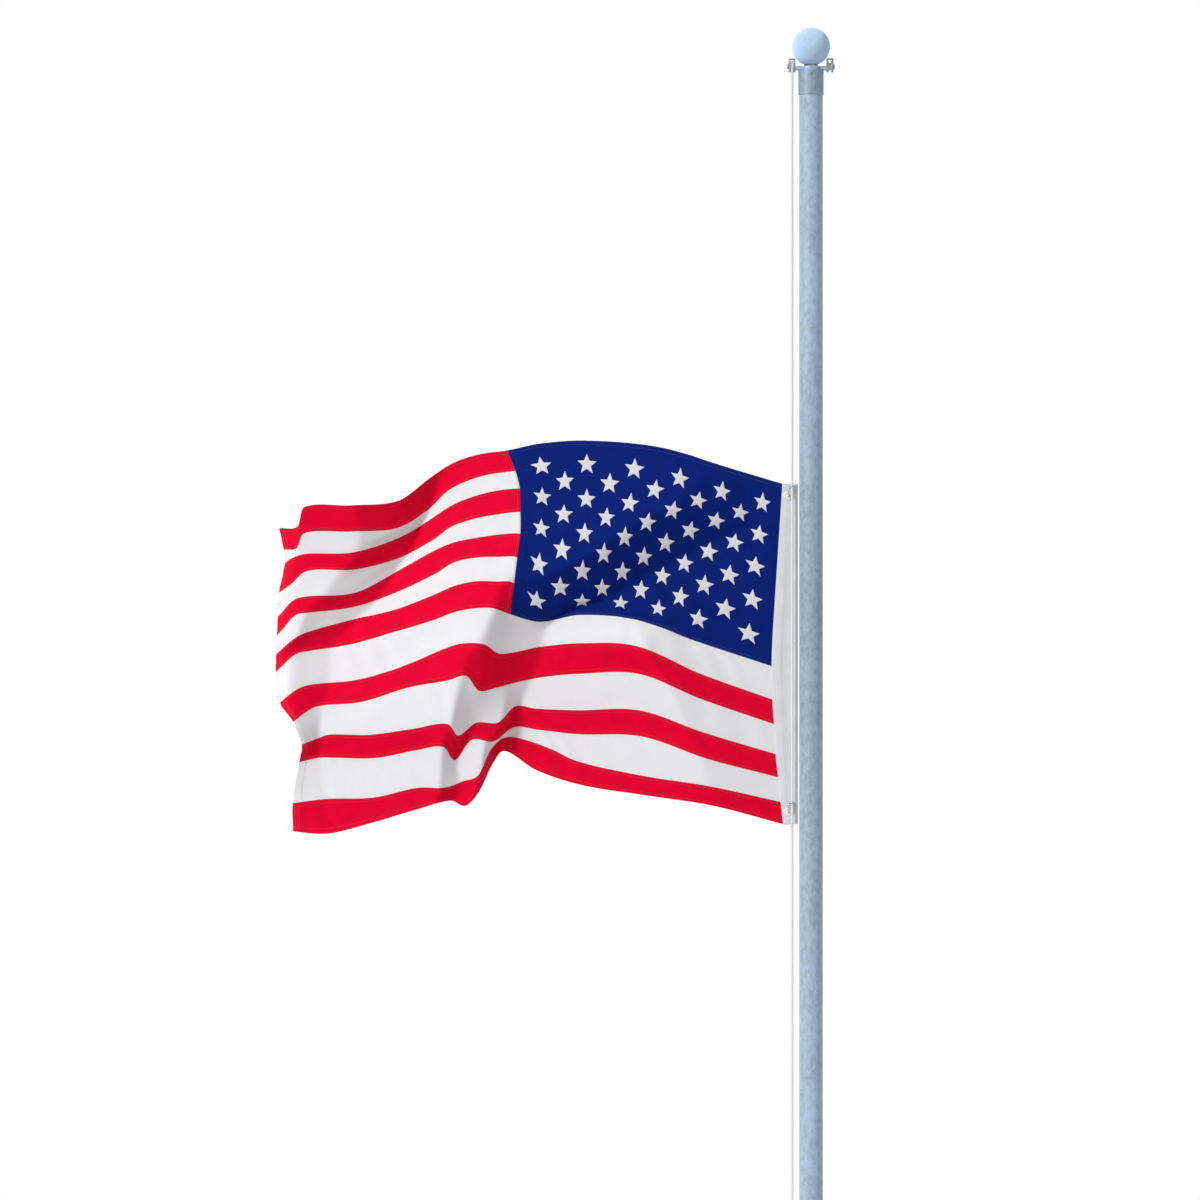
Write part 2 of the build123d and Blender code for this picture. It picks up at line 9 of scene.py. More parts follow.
import bpy
import numpy as np
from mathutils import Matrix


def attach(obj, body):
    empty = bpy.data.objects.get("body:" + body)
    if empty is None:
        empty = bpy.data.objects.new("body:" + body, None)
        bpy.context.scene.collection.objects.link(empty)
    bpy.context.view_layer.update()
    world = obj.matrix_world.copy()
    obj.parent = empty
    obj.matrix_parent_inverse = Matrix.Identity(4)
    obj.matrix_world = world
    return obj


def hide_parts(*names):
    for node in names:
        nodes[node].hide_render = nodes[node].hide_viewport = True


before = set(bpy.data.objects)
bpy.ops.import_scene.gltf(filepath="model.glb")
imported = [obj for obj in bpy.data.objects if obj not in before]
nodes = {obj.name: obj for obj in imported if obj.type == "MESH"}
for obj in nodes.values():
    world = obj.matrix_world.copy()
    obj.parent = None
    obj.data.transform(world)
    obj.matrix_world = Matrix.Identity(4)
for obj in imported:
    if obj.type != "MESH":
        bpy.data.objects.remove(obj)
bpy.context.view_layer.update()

MM = 0.001

# ---- the flag, in millimetres ----
HOIST = 914.0
FLY = 1524.0
HEAD_Z = 3463.0               # the coloured cloth's head corner at the hoist
HOIST_X = 73.0                # the same corner from the pole's axis
STRIPES = 13
CANTON_STRIPES = 7
CANTON_SHARE = 0.508          # of the fly
STRIPE = HOIST / STRIPES
CANTON_FLY = CANTON_SHARE * FLY
CLOTH_HALF = 0.35             # half the thickness of one layer
FOLD_RAISE = 0.35             # added to each side where the cloth is folded and sewn
FOLD_FADE = 0.8               # how far beyond a fold's edge that thickness runs out
SEAM_FOLD = 9.0
EDGE_HEM = 12.0
FLY_HEM = 26.0
ALONG_STEP = 6.0              # of the cloth's grid, along the fly and down the hoist
DOWN_STEP = 5.0
PLAIN_RIM = 1.0               # its first step from an edge without a fold
PANEL_RIM = 0.6               # its first step from a panel's upper and lower edges

# The hoisted cloth by its top edge, its seams and its bottom edge, from the head to the foot. A point
# is (out from the hoist, down from the head's corner), one for each share of the fly in STATIONS.
STATIONS = [0, 0.127, 0.254, 0.381, 0.46, 0.508, 0.55, 0.59, 0.63, 0.67, 0.75, 0.83, 0.915, 0.95, 1]
SEAMS = [
    [(0, 0), (160, -48), (335, -100), (530, -118), (658, -110), (744, -92), (808, -84), (868, -68),
     (916, -44), (960, -12), (1040, 46), (1160, 58), (1286, 62), (1306, 114), (1358, 118)],
    [(4, 70), (168, 26), (340, -24), (530, -48), (642, -44), (722, -36), (796, -26), (856, -8),
     (908, 20), (954, 64), (1040, 118), (1156, 128), (1286, 132), (1308, 172), (1346, 176)],
    [(8, 140), (180, 86), (354, 46), (530, 26), (642, 22), (710, 12), (786, 20), (844, 36),
     (900, 60), (948, 92), (1040, 146), (1156, 184), (1284, 188), (1322, 200), (1342, 212)],
    [(12, 208), (196, 148), (370, 114), (534, 96), (644, 88), (708, 76), (774, 82), (834, 94),
     (894, 114), (944, 150), (1040, 200), (1154, 230), (1280, 234), (1324, 270), (1358, 292)],
    [(16, 276), (208, 216), (376, 186), (538, 172), (646, 156), (708, 134), (764, 136), (822, 144),
     (884, 156), (938, 178), (1040, 234), (1152, 292), (1278, 302), (1316, 312), (1360, 356)],
    [(20, 346), (216, 286), (382, 254), (542, 250), (652, 236), (716, 198), (768, 196), (824, 198),
     (884, 210), (938, 242), (1044, 292), (1156, 330), (1276, 346), (1312, 354), (1362, 408)],
    [(24, 418), (230, 358), (388, 322), (542, 312), (656, 312), (724, 266), (776, 262), (828, 262),
     (884, 274), (940, 298), (1046, 338), (1158, 364), (1274, 396), (1312, 414), (1364, 458)],
    [(26, 492), (232, 424), (394, 366), (548, 352), (658, 370), (734, 350), (780, 334), (828, 334),
     (882, 344), (940, 366), (1048, 398), (1160, 430), (1272, 448), (1312, 458), (1364, 506)],
    [(24, 582), (224, 510), (394, 436), (548, 428), (658, 438), (726, 452), (768, 454), (804, 430),
     (864, 428), (914, 444), (1030, 492), (1148, 526), (1266, 538), (1304, 550), (1352, 586)],
    [(20, 648), (222, 578), (390, 510), (556, 510), (656, 520), (724, 534), (770, 546), (818, 554),
     (852, 514), (900, 526), (1008, 546), (1132, 584), (1250, 596), (1282, 612), (1314, 638)],
    [(16, 728), (214, 668), (388, 608), (556, 608), (662, 604), (724, 598), (768, 640), (826, 640),
     (872, 674), (902, 642), (996, 656), (1110, 672), (1218, 672), (1250, 682), (1292, 698)],
    [(10, 790), (206, 738), (382, 678), (556, 672), (664, 660), (726, 654), (778, 690), (838, 686),
     (882, 740), (912, 704), (982, 712), (1094, 734), (1204, 734), (1246, 734), (1300, 746)],
    [(4, 856), (198, 812), (378, 784), (552, 746), (642, 706), (736, 680), (784, 708), (820, 780),
     (860, 796), (906, 812), (986, 814), (1100, 840), (1218, 844), (1258, 848), (1318, 856)],
    [(-2, 916), (192, 864), (374, 836), (548, 808), (668, 768), (748, 718), (782, 750), (816, 820),
     (854, 862), (896, 848), (986, 872), (1098, 906), (1210, 936), (1260, 938), (1318, 932)],
]

# How far back the cloth lies, by its creases at some of the seams. A crease is (share of the fly, back),
# and the cloth is straight from one to the next. From the hoist they are the hoist edge, a low swell, the
# hollow beyond it and three up the front of the great fold, which falls from the head's corner and splits
# in two at the foot. On each second line are the hollow behind that fold, two creases along the fold near
# the fly, and the fly edge.
CREASES = {
    0: [(0, 0), (0.02, 0), (0.05, 2), (0.08, 3), (0.11, 3), (0.14, 4),
        (0.635, 46), (0.823, -58), (0.94, -40), (1, 15)],
    2: [(0, 0), (0.03, 2), (0.07, 6), (0.12, -10), (0.17, -26), (0.22, -42),
        (0.7, 32), (0.823, -50), (0.94, -34), (1, 10)],
    4: [(0, 0), (0.08, 4), (0.18, 10), (0.24, -14), (0.3, -38), (0.35, -58),
        (0.755, 12), (0.885, -54), (0.95, -42), (1, -8)],
    6: [(0, 0), (0.17, -10), (0.34, 2), (0.4, -22), (0.46, -46), (0.525, -72),
        (0.82, -12), (0.945, -56), (0.97, -50), (1, -22)],
    7: [(0, 0), (0.21, -34), (0.438, -6), (0.47, -31), (0.51, -63), (0.546, -92),
        (0.872, -24), (0.955, -44), (0.97, -42), (1, -24)],
    8: [(0, 0), (0.235, -56), (0.456, -14), (0.5, -42), (0.55, -74), (0.6, -106),
        (0.882, -38), (0.965, -64), (0.98, -64), (1, -50)],
    9: [(0, 0), (0.19, -48), (0.477, -12), (0.53, -44), (0.585, -78), (0.64, -112),
        (0.905, -48), (0.98, -80), (0.99, -81), (1, -82)],
    10: [(0, 0), (0.16, -42), (0.508, -6), (0.54, -52), (0.615, -74), (0.66, -112),
         (0.945, -52), (0.985, -76), (0.99, -77), (1, -78)],
    11: [(0, 0), (0.14, -38), (0.525, -2), (0.56, -74), (0.63, -68), (0.673, -103),
         (0.95, -50), (0.98, -56), (0.99, -56), (1, -56)],
    12: [(0, 0), (0.13, -34), (0.535, -4), (0.575, -76), (0.64, -68), (0.685, -97),
         (0.94, -48), (0.972, -48), (0.985, -46), (1, -43)],
    13: [(0, 0), (0.12, -30), (0.545, -8), (0.61, -78), (0.66, -68), (0.7, -91),
         (0.93, -46), (0.965, -40), (0.98, -36), (1, -30)],
}
CREASE_SHIFTS = (-10, -5, 0, 5, 10)   # along the fly: the mean of the shifted creases softens them


# ---- meshes ----
class Pile:
    """Gathers the vertices, in millimetres, the faces and the UVs of several patches for one mesh."""

    def __init__(self):
        self.vertices = []
        self.faces = []
        self.uvs = []
        self.count = 0

    def add(self, vertices, faces, uvs):
        self.vertices.append(np.asarray(vertices, float).reshape(-1, 3))
        self.uvs.append(np.asarray(uvs, float).reshape(-1, 2))
        self.faces.append(np.asarray(faces, np.int64) + self.count)
        self.count += len(self.vertices[-1])

    def piece(self, name, body, slot, material):
        """The mesh piece, in metres, riding on a body."""
        vertices = np.concatenate(self.vertices) * MM
        faces = [tuple(face) for group in self.faces for face in group.tolist()]
        mesh = bpy.data.meshes.new(name)
        mesh.from_pydata([tuple(v) for v in vertices], [], faces)
        mesh.validate()
        layer = mesh.uv_layers.new(name="UVMap")
        corner = np.zeros(len(mesh.loops), np.int64)
        mesh.loops.foreach_get("vertex_index", corner)
        uvs = np.concatenate(self.uvs).astype(np.float32)
        layer.data.foreach_set("uv", uvs[corner].ravel())
        mesh.polygons.foreach_set("use_smooth", [True] * len(mesh.polygons))
        mesh.materials.append(material)
        piece = bpy.data.objects.new(name, mesh)
        bpy.context.scene.collection.objects.link(piece)
        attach(piece, body)
        return piece


def grid_faces(rows, columns, flip=False):
    """The quads of a grid of points, counted row by row."""
    corner = np.arange(rows - 1)[:, None] * columns + np.arange(columns - 1)[None, :]
    quads = np.stack([corner, corner + 1, corner + columns + 1, corner + columns], -1).reshape(-1, 4)
    return quads[:, ::-1] if flip else quads


def smoothstep(low, high, value):
    """0 at low and 1 at high, with a smooth rise between and no change beyond."""
    share = np.clip((value - low) / (high - low), 0, 1)
    return share * share * (3 - 2 * share)


def distances(points):
    """How far along a line of points each of them lies."""
    return np.concatenate([[0], np.cumsum(np.linalg.norm(np.diff(points, axis=0), axis=1))])


# ---- the cloth's surface ----
def hermite(knots, values, at):
    """A smooth curve through values at knots, for an array of places."""
    knots = np.asarray(knots, float)
    values = np.asarray(values, float)
    low = np.maximum(np.arange(len(knots)) - 1, 0)
    high = np.minimum(np.arange(len(knots)) + 1, len(knots) - 1)
    slopes = (values[high] - values[low]) / (knots[high] - knots[low])[:, None]
    span = np.clip(np.searchsorted(knots, at, side="right") - 1, 0, len(knots) - 2)
    width = (knots[span + 1] - knots[span])[:, None]
    s = ((at - knots[span])[:, None]) / width
    return (
        (2 * s ** 3 - 3 * s ** 2 + 1) * values[span] + (s ** 3 - 2 * s ** 2 + s) * width * slopes[span]
        + (3 * s ** 2 - 2 * s ** 3) * values[span + 1] + (s ** 3 - s ** 2) * width * slopes[span + 1]
    )


def at_stripe(table, seams, v):
    """A table of pairs at seams, read at places v by smooth curves: [pair][which of the two][place]."""
    pairs = np.asarray(table, float)
    shares = hermite(seams, np.eye(len(pairs)), v)
    return (shares @ pairs.reshape(len(pairs), -1)).T.reshape(*pairs.shape[1:], -1)


def creased_depth(u, v):
    """How far back the cloth lies, its creases slightly softened."""
    creases = at_stripe(list(CREASES.values()), list(CREASES), v)
    total = np.zeros_like(u)
    for shift in CREASE_SHIFTS:
        for (low, start), (high, end) in zip(creases, creases[1:]):
            total += (end - start) * np.clip((u + shift / FLY - low) / (high - low), 0, 1)
    return total / len(CREASE_SHIFTS)


def smooth_cloth(x, y):
    """The cloth's middle surface, in millimetres, at distances along the fly x and down the hoist y."""
    u, v = np.ravel(x) / FLY, np.ravel(y) / STRIPE
    seams = at_stripe(SEAMS, range(len(SEAMS)), v)
    shares = hermite(STATIONS, np.eye(len(STATIONS)), u)
    out, down = np.einsum("skp,ps->kp", seams, shares)
    return np.stack([-HOIST_X - out, creased_depth(u, v), HEAD_Z - down], -1).reshape(*np.shape(x), 3)


def wrinkles(x, y):
    """Small folds and seam puckers along the cloth's normal, in millimetres, each less than 1 mm high."""
    free = smoothstep(0, 90, x)
    drift = np.sin(x / 61 + 1.7 * np.sin(y / 97))
    folds = 0.9 * np.sin(x / 13.5 + y / 41 + 1.4 * drift) * smoothstep(-0.2, 1, np.sin(x / 143 + y / 87))
    folds += 0.7 * np.sin(y / 11 - x / 57 + 1.1 * np.sin(x / 83)) * smoothstep(0, 1, np.sin(x / 119 - y / 71))
    seam = np.round(y / STRIPE)
    near = np.exp(-np.abs(y - seam * STRIPE) / 8)
    no_seam = (x < CANTON_FLY) & (seam > 0) & (seam < CANTON_STRIPES)
    pucker = 0.4 * np.sin(x / 3.1 + 2.3 * seam + np.sin(x / 29)) * np.where(no_seam, 0, near)
    fly_pucker = 0.9 * np.exp(-np.abs(FLY - x) / 22) * np.sin(y / 7.5 + np.sin(y / 31))
    return free * (folds + pucker) + fly_pucker


def cloth(x, y):
    """The cloth's middle surface with its wrinkles, and its unit normals towards the front."""
    x, y = np.asarray(x, float), np.asarray(y, float)
    step = 1.5
    along = smooth_cloth(x + step, y) - smooth_cloth(x - step, y)
    down = smooth_cloth(x, y + step) - smooth_cloth(x, y - step)
    normal = np.cross(along, down)
    normal /= np.linalg.norm(normal, axis=-1, keepdims=True)
    return smooth_cloth(x, y) + normal * wrinkles(x, y)[..., None], normal


def thin_sheet(pile, middle, normal, half, flat, quads):
    """A closed thin sheet on both sides of a grid of points, half thick each, with flat's UVs."""
    rows, columns = half.shape
    other = rows * columns
    index = np.arange(other).reshape(rows, columns)
    rim = np.concatenate([index[0, :], index[1:, -1], index[-1, -2::-1], index[-2:0:-1, 0]])
    ahead = np.roll(rim, -1)
    wall = np.stack([rim, ahead, ahead + other, rim + other], -1)
    lift = normal * half[..., None]
    faces = np.concatenate([quads, quads[:, ::-1] + other, wall])
    pile.add(np.stack([middle + lift, middle - lift]), faces, np.stack([flat, flat]))


def panel(pile, u, v, raised):
    """A closed thin panel of cloth. raised is the thickness added on each side, over the grid."""
    x, y = np.meshgrid(u * FLY, v * STRIPE)
    middle, normal = cloth(x, y)
    flat = np.stack([x * MM, -y * MM], -1)
    thin_sheet(pile, middle, normal, CLOTH_HALF + raised, flat, grid_faces(len(v), len(u), flip=True))


def fold_profile(distance, width):
    """The share of a fold's full thickness at a distance from the cloth's edge."""
    return smoothstep(width + FOLD_FADE, width, distance)


def fly_places(first, last):
    """Shares of the fly on an even grid, with further ones at the canton's edge and the fly hem."""
    count = max(2, round((last - first) * FLY / ALONG_STEP))
    places = np.linspace(first, last, count + 1)
    extra = [1 - (FLY_HEM + FOLD_FADE) / FLY, 1 - FLY_HEM / FLY, 1 - PLAIN_RIM / FLY]
    extra += [(CANTON_FLY + x) / FLY for x in (SEAM_FOLD, SEAM_FOLD + FOLD_FADE)]
    extra = [x for x in extra if first < x < last]
    return np.unique(np.concatenate([places, extra]))


def stripe_places(first, last, hem_first, hem_last):
    """Places down a panel, in stripes, close together at its folded edges."""
    low, high = first * STRIPE, last * STRIPE
    start, end = low + hem_first + FOLD_FADE, high - hem_last - FOLD_FADE
    rows = [low, low + PANEL_RIM, low + hem_first, high - hem_last, high - PANEL_RIM, high]
    count = max(2, round((end - start) / DOWN_STEP))
    return np.unique(np.round(np.concatenate([rows, np.linspace(start, end, count + 1)]), 4)) / STRIPE


def raised_folds(u, v, first, last, hem_first, hem_last, seam_at_canton):
    """The thickness that a panel's hems and seam folds add, on its grid."""
    x, y = np.meshgrid(u * FLY, v * STRIPE)
    share = fold_profile(FLY - x, FLY_HEM)
    if hem_first:
        share = np.maximum(share, fold_profile(y - first * STRIPE, hem_first))
    if hem_last:
        share = np.maximum(share, fold_profile(last * STRIPE - y, hem_last))
    if seam_at_canton:
        share = np.maximum(share, fold_profile(x - CANTON_FLY, SEAM_FOLD))
    return share * FOLD_RAISE


def stripe_panels(colour):
    """All stripes of one colour: 0 for the red ones, which carry the seams' folds, 1 for the white ones."""
    pile = Pile()
    seam_fold = 0 if colour else SEAM_FOLD
    for i in range(colour, STRIPES, 2):
        short = i < CANTON_STRIPES
        first = EDGE_HEM if i == 0 else seam_fold
        last = EDGE_HEM if i == STRIPES - 1 else seam_fold
        u = fly_places(CANTON_SHARE if short else 0, 1)
        v = stripe_places(i, i + 1, first or PLAIN_RIM, last or PLAIN_RIM)
        panel(pile, u, v, raised_folds(u, v, i, i + 1, first, last, short))
    return pile


def canton_panel():
    pile = Pile()
    u = fly_places(0, CANTON_SHARE)
    v = stripe_places(0, CANTON_STRIPES, EDGE_HEM, SEAM_FOLD)
    panel(pile, u, v, raised_folds(u, v, 0, CANTON_STRIPES, EDGE_HEM, SEAM_FOLD, False))
    return pile


# ---- stars ----
STAR_POINTS = 5
STAR_R = 28.0
STAR_INNER = 0.44             # the inner corners' radius as a share of the points'
FIRST_STAR_ROW = 0.92         # in stripes below the head
STAR_ROW_STEP = 0.645
STAR_ROWS = 9
STAR_COLUMNS = 11
STAR_RINGS = (0.0, 0.35, 0.7, 0.93, 1.0)         # shares of the radius
STAR_RAISE = (1.15, 1.0, 0.8, 0.65, 0.05)        # how far each ring stands off the cloth
STAR_EDGE_CUTS = 4


def star_outline():
    """Points round a star of unit size, (across, down), starting at its top."""
    corners = []
    for i in range(2 * STAR_POINTS):
        radius = 1 if i % 2 == 0 else STAR_INNER
        angle = math.pi * i / STAR_POINTS
        corners.append((radius * math.sin(angle), -radius * math.cos(angle)))
    outline = []
    for a, b in zip(corners, corners[1:] + corners[:1]):
        for cut in range(STAR_EDGE_CUTS):
            share = cut / STAR_EDGE_CUTS
            outline.append((a[0] + (b[0] - a[0]) * share, a[1] + (b[1] - a[1]) * share))
    return np.array(outline)


def stars():
    """Sewn stars on both faces of the canton, alternate rows of six and five."""
    pile = Pile()
    outline = star_outline()
    around = len(outline)
    rings = np.concatenate([outline * ring * STAR_R for ring in STAR_RINGS])
    raises = np.repeat(STAR_RAISE, around) + CLOTH_HALF
    ring_faces = []
    for ring in range(len(STAR_RINGS) - 1):
        for i in range(around):
            a, b = ring * around + i, ring * around + (i + 1) % around
            ring_faces.append((a, b, b + around, a + around))
    ring_faces = np.array(ring_faces)
    for row in range(STAR_ROWS):
        for column in range(1 + row % 2, STAR_COLUMNS + 1, 2):
            x = CANTON_FLY * column / (STAR_COLUMNS + 1)
            y = (FIRST_STAR_ROW + STAR_ROW_STEP * row) * STRIPE
            spots, normals = cloth(x - rings[:, 0], y + rings[:, 1])
            for side in (1, -1):
                faces = ring_faces if side == 1 else ring_faces[:, ::-1]
                pile.add(spots + normals * (raises * side)[:, None], faces, rings * MM)
    return pile


# ---- stitching ----
THREAD_HALF = 0.55
THREAD_RAISE = 0.3
THREAD_SINK = 0.05            # how far the bead's edges sit in the cloth
EDGE_TO_THREAD = 1.6
ROW_START = 3.0               # from the hoist or the canton's edge
ROW_END = 2.0                 # from the fly, and from the canton's edge at the seams beside it
ROW_GAP = 0.5                 # from a seam to the rows that run down the hoist
FLY_ROWS = (2, 9, 17, FLY_HEM - 2)
SEWN_ALONG_STEP = 5.0
SEWN_DOWN_STEP = 4.0


def sew(pile, middle, normal, surface, run):
    """A bead of thread on both faces of a cloth, which lie at surface from its middle."""
    tangent = np.gradient(middle, axis=0)
    across = np.cross(tangent, normal)
    across /= np.linalg.norm(across, axis=-1, keepdims=True)
    for side in (1, -1):
        foot = middle + normal * side * (surface - THREAD_SINK)
        crest = middle + normal * side * (surface + THREAD_RAISE)
        rows = np.stack([foot - across * THREAD_HALF, crest, foot + across * THREAD_HALF])
        uvs = np.stack([np.stack([run * MM, np.full_like(run, share)], -1) for share in (0, 0.5, 1)])
        pile.add(rows, grid_faces(3, len(run), flip=side == -1), uvs)


def stitch_line(pile, x, y):
    """A sewn line on folded cloth, through places in millimetres along and down."""
    middle, normal = cloth(x, y)
    sew(pile, middle, normal, CLOTH_HALF + FOLD_RAISE, distances(middle))


def along_fly(pile, first, last, y):
    x = np.linspace(first, last, max(2, round((last - first) / SEWN_ALONG_STEP)))
    stitch_line(pile, x, np.full_like(x, y))


def down_hoist(pile, x, first, last):
    y = np.linspace(first, last, max(2, round((last - first) / SEWN_DOWN_STEP)))
    stitch_line(pile, np.full_like(y, x), y)


def stitching():
    """Double rows at every seam and hem, in thread of the cloth's own colour, and four at the fly."""
    red, white, blue = Pile(), Pile(), Pile()
    inner = SEAM_FOLD - EDGE_TO_THREAD
    for seam in range(1, STRIPES):
        side = 1 if seam % 2 == 0 else -1
        for offset in (EDGE_TO_THREAD, inner):
            y = seam * STRIPE + side * offset
            if seam == CANTON_STRIPES:
                along_fly(blue, ROW_START, CANTON_FLY - ROW_START, y)
            first = CANTON_FLY + ROW_END if seam <= CANTON_STRIPES else ROW_START
            along_fly(red, first, FLY - ROW_END, y)
    for offset in (EDGE_TO_THREAD, EDGE_HEM - EDGE_TO_THREAD):
        along_fly(blue, ROW_START, CANTON_FLY - ROW_START, offset)
        along_fly(red, CANTON_FLY + ROW_START, FLY - ROW_END, offset)
        along_fly(red, ROW_START, FLY - ROW_END, HOIST - offset)
    for i in range(STRIPES):
        pile = white if i % 2 else red
        top, foot = i * STRIPE + ROW_GAP, (i + 1) * STRIPE - ROW_GAP
        for offset in FLY_ROWS:
            down_hoist(pile, FLY - offset, top, foot)
        if i < CANTON_STRIPES:
            for offset in (EDGE_TO_THREAD, inner):
                down_hoist(pile, CANTON_FLY + offset, top, foot)
    return red, white, blue


# ---- heading ----
HEADING_X = 35.5              # its free edge from the pole's axis
HEADING_HALF = 1.0
HEADING_LAP = 1 / 9           # the share of its width that covers the coloured cloth
HEADING_FOLDS = ((0.34, 0.31), (0.74, 0.77))     # shares of its width where a fold begins and is full
HEADING_EDGE = 0.02           # the share of its width in which it thins at the free edge
HEADING_EDGE_THICKNESS = 0.65                    # of its own thickness, at the free edge
HEADING_SEWN = (0.03, 0.29, 0.79, 0.95)          # rows of stitches, in shares of its width
HEADING_SEWN_INSET = 4.0      # from the head and the foot
HEADING_SEWN_POINTS = 220
HEADING_COLUMNS = (-0.04, 0.985, 30)             # first, last and count, between its lap and free edge
HEADING_POINTS_DOWN = 306
GROMMET_X = 63.0              # from the pole's axis
GROMMET_INSET = 32.0          # from the head and the foot
GROMMET_HOLE_R = 8.5
GROMMET_LIFT = 0.05           # of the metal's foot over one layer of canvas
GROMMET_ZS = (HEAD_Z - GROMMET_INSET, HEAD_Z - HOIST + GROMMET_INSET)


def heading_surface(across, y):
    """The canvas band: across from 0 at the coloured cloth to 1 at its free edge, y down from the head.

    It bulges by 3 mm at most and has waves of half a millimetre.
    """
    edge = smooth_cloth(np.zeros_like(y), y)
    share = across[..., None]
    free_edge = np.stack([np.full_like(y, -HEADING_X), np.zeros_like(y), HEAD_Z - y], -1)
    point = edge * (1 - share) + free_edge * share
    bulge = np.sin(np.pi * np.clip(across, 0, 1))
    point[..., 1] += 3 * (bulge * np.sin(np.pi * y / HOIST)) * np.sin(across * 4.2 - 1.2)
    point[..., 1] += 0.5 * np.sin(y / 19 + 2 * across) * bulge
    return point


def heading_frame(across, y):
    """The band's middle surface and its unit normals towards the front."""
    step = 0.01
    along = heading_surface(across + step, y) - heading_surface(across - step, y)
    down = heading_surface(across, y + 1) - heading_surface(across, y - 1)
    normal = np.cross(down, along)
    normal /= np.linalg.norm(normal, axis=-1, keepdims=True)
    return heading_surface(across, y), normal


def heading():
    """The band with its two folds, its thinner free edge and the grommets' holes."""
    pile = Pile()
    across = np.concatenate([[-HEADING_LAP], np.linspace(*HEADING_COLUMNS), [1.0]])
    s, y = np.meshgrid(across, np.linspace(0, HOIST, HEADING_POINTS_DOWN))
    middle, normal = heading_frame(s, y)
    thickness = smoothstep(0, HEADING_EDGE, 1 - s) * (1 - HEADING_EDGE_THICKNESS) + HEADING_EDGE_THICKNESS
    folded = sum(smoothstep(begin, full, s) for begin, full in HEADING_FOLDS)
    half = HEADING_HALF * thickness + FOLD_RAISE * folded
    quads = grid_faces(*s.shape, flip=True)
    centre = middle.reshape(-1, 3)[quads].mean(axis=1)
    open_here = np.zeros(len(quads), bool)
    for z in GROMMET_ZS:
        open_here |= np.hypot(centre[:, 0] + GROMMET_X, centre[:, 2] - z) < GROMMET_HOLE_R
    flat = np.stack([middle[..., 0], middle[..., 2]], -1) * MM
    thin_sheet(pile, middle, normal, half, flat, quads[~open_here])
    return pile


def heading_stitching():
    pile = Pile()
    y = np.linspace(HEADING_SEWN_INSET, HOIST - HEADING_SEWN_INSET, HEADING_SEWN_POINTS)
    for share in HEADING_SEWN:
        middle, normal = heading_frame(np.full_like(y, share), y)
        sew(pile, middle, normal, HEADING_HALF + FOLD_RAISE, -y)
    return pile


# ---- turned and bent shapes ----
def turned(pile, profile, place, axis, segments=48):
    """A closed profile of (radius, height) turned about an axis through a place, in millimetres."""
    axis = np.asarray(axis, float)
    side = np.cross(axis, [0.3, 0.2, 1] if abs(axis[2]) < 0.9 else [1, 0, 0])
    side /= np.linalg.norm(side)
    other = np.cross(axis, side)
    profile = np.asarray(profile, float)
    angles = np.linspace(0, 2 * np.pi, segments, endpoint=False)
    ring = np.cos(angles)[:, None] * side + np.sin(angles)[:, None] * other
    radii, heights = profile[None, :, 0, None], profile[None, :, 1, None]
    points = ring[:, None, :] * radii + axis * heights + np.asarray(place)
    count = len(profile)
    i, j = np.meshgrid(np.arange(segments), np.arange(count), indexing="ij")
    a = i * count + j
    b = i * count + (j + 1) % count
    c = (i + 1) % segments * count + (j + 1) % count
    d = (i + 1) % segments * count + j
    faces = np.stack([a, b, c, d], -1).reshape(-1, 4)
    run = distances(profile) * MM
    uvs = np.stack(np.meshgrid(run, angles / (2 * np.pi)), -1)
    pile.add(points, faces, uvs)


def bent(pile, path, radii, sides=16, closed=False):
    """A round bar along a path, in millimetres, with open ends where the path isn't closed.

    Radii that run out to nothing round an end off.
    """
    path = np.asarray(path, float)
    count = len(path)
    radii = np.broadcast_to(np.asarray(radii, float), (count,))
    if closed:
        tangent = np.roll(path, -1, axis=0) - np.roll(path, 1, axis=0)
    else:
        tangent = np.gradient(path, axis=0)
    tangent /= np.linalg.norm(tangent, axis=1, keepdims=True)
    side = np.cross(tangent[0], [0.1, 0.3, 0.9] if abs(tangent[0][2]) < 0.9 else [1, 0.1, 0])
    frames = []
    for t in tangent:
        side = side - t * np.dot(side, t)
        side /= np.linalg.norm(side)
        frames.append((side, np.cross(t, side)))
    angles = np.linspace(0, 2 * np.pi, sides + 1)
    first = np.array([f[0] for f in frames])[:, None, :]
    second = np.array([f[1] for f in frames])[:, None, :]
    ring = np.cos(angles)[None, :, None] * first + np.sin(angles)[None, :, None] * second
    points = path[:, None, :] + ring * radii[:, None, None]
    run = distances(path) * MM
    uvs = np.stack(np.meshgrid(angles / (2 * np.pi), run), -1)
    faces = [grid_faces(count, sides + 1, flip=True)]
    if closed:
        last = (count - 1) * (sides + 1) + np.arange(sides)
        faces.append(np.stack([last, last + 1, np.arange(sides) + 1, np.arange(sides)], -1)[:, ::-1])
    pile.add(points, np.concatenate(faces), uvs)


def smooth_path(points, count):
    """A smooth curve through given points."""
    points = np.asarray(points, float)
    knots = distances(points)
    return hermite(knots, points, np.linspace(0, knots[-1], count))


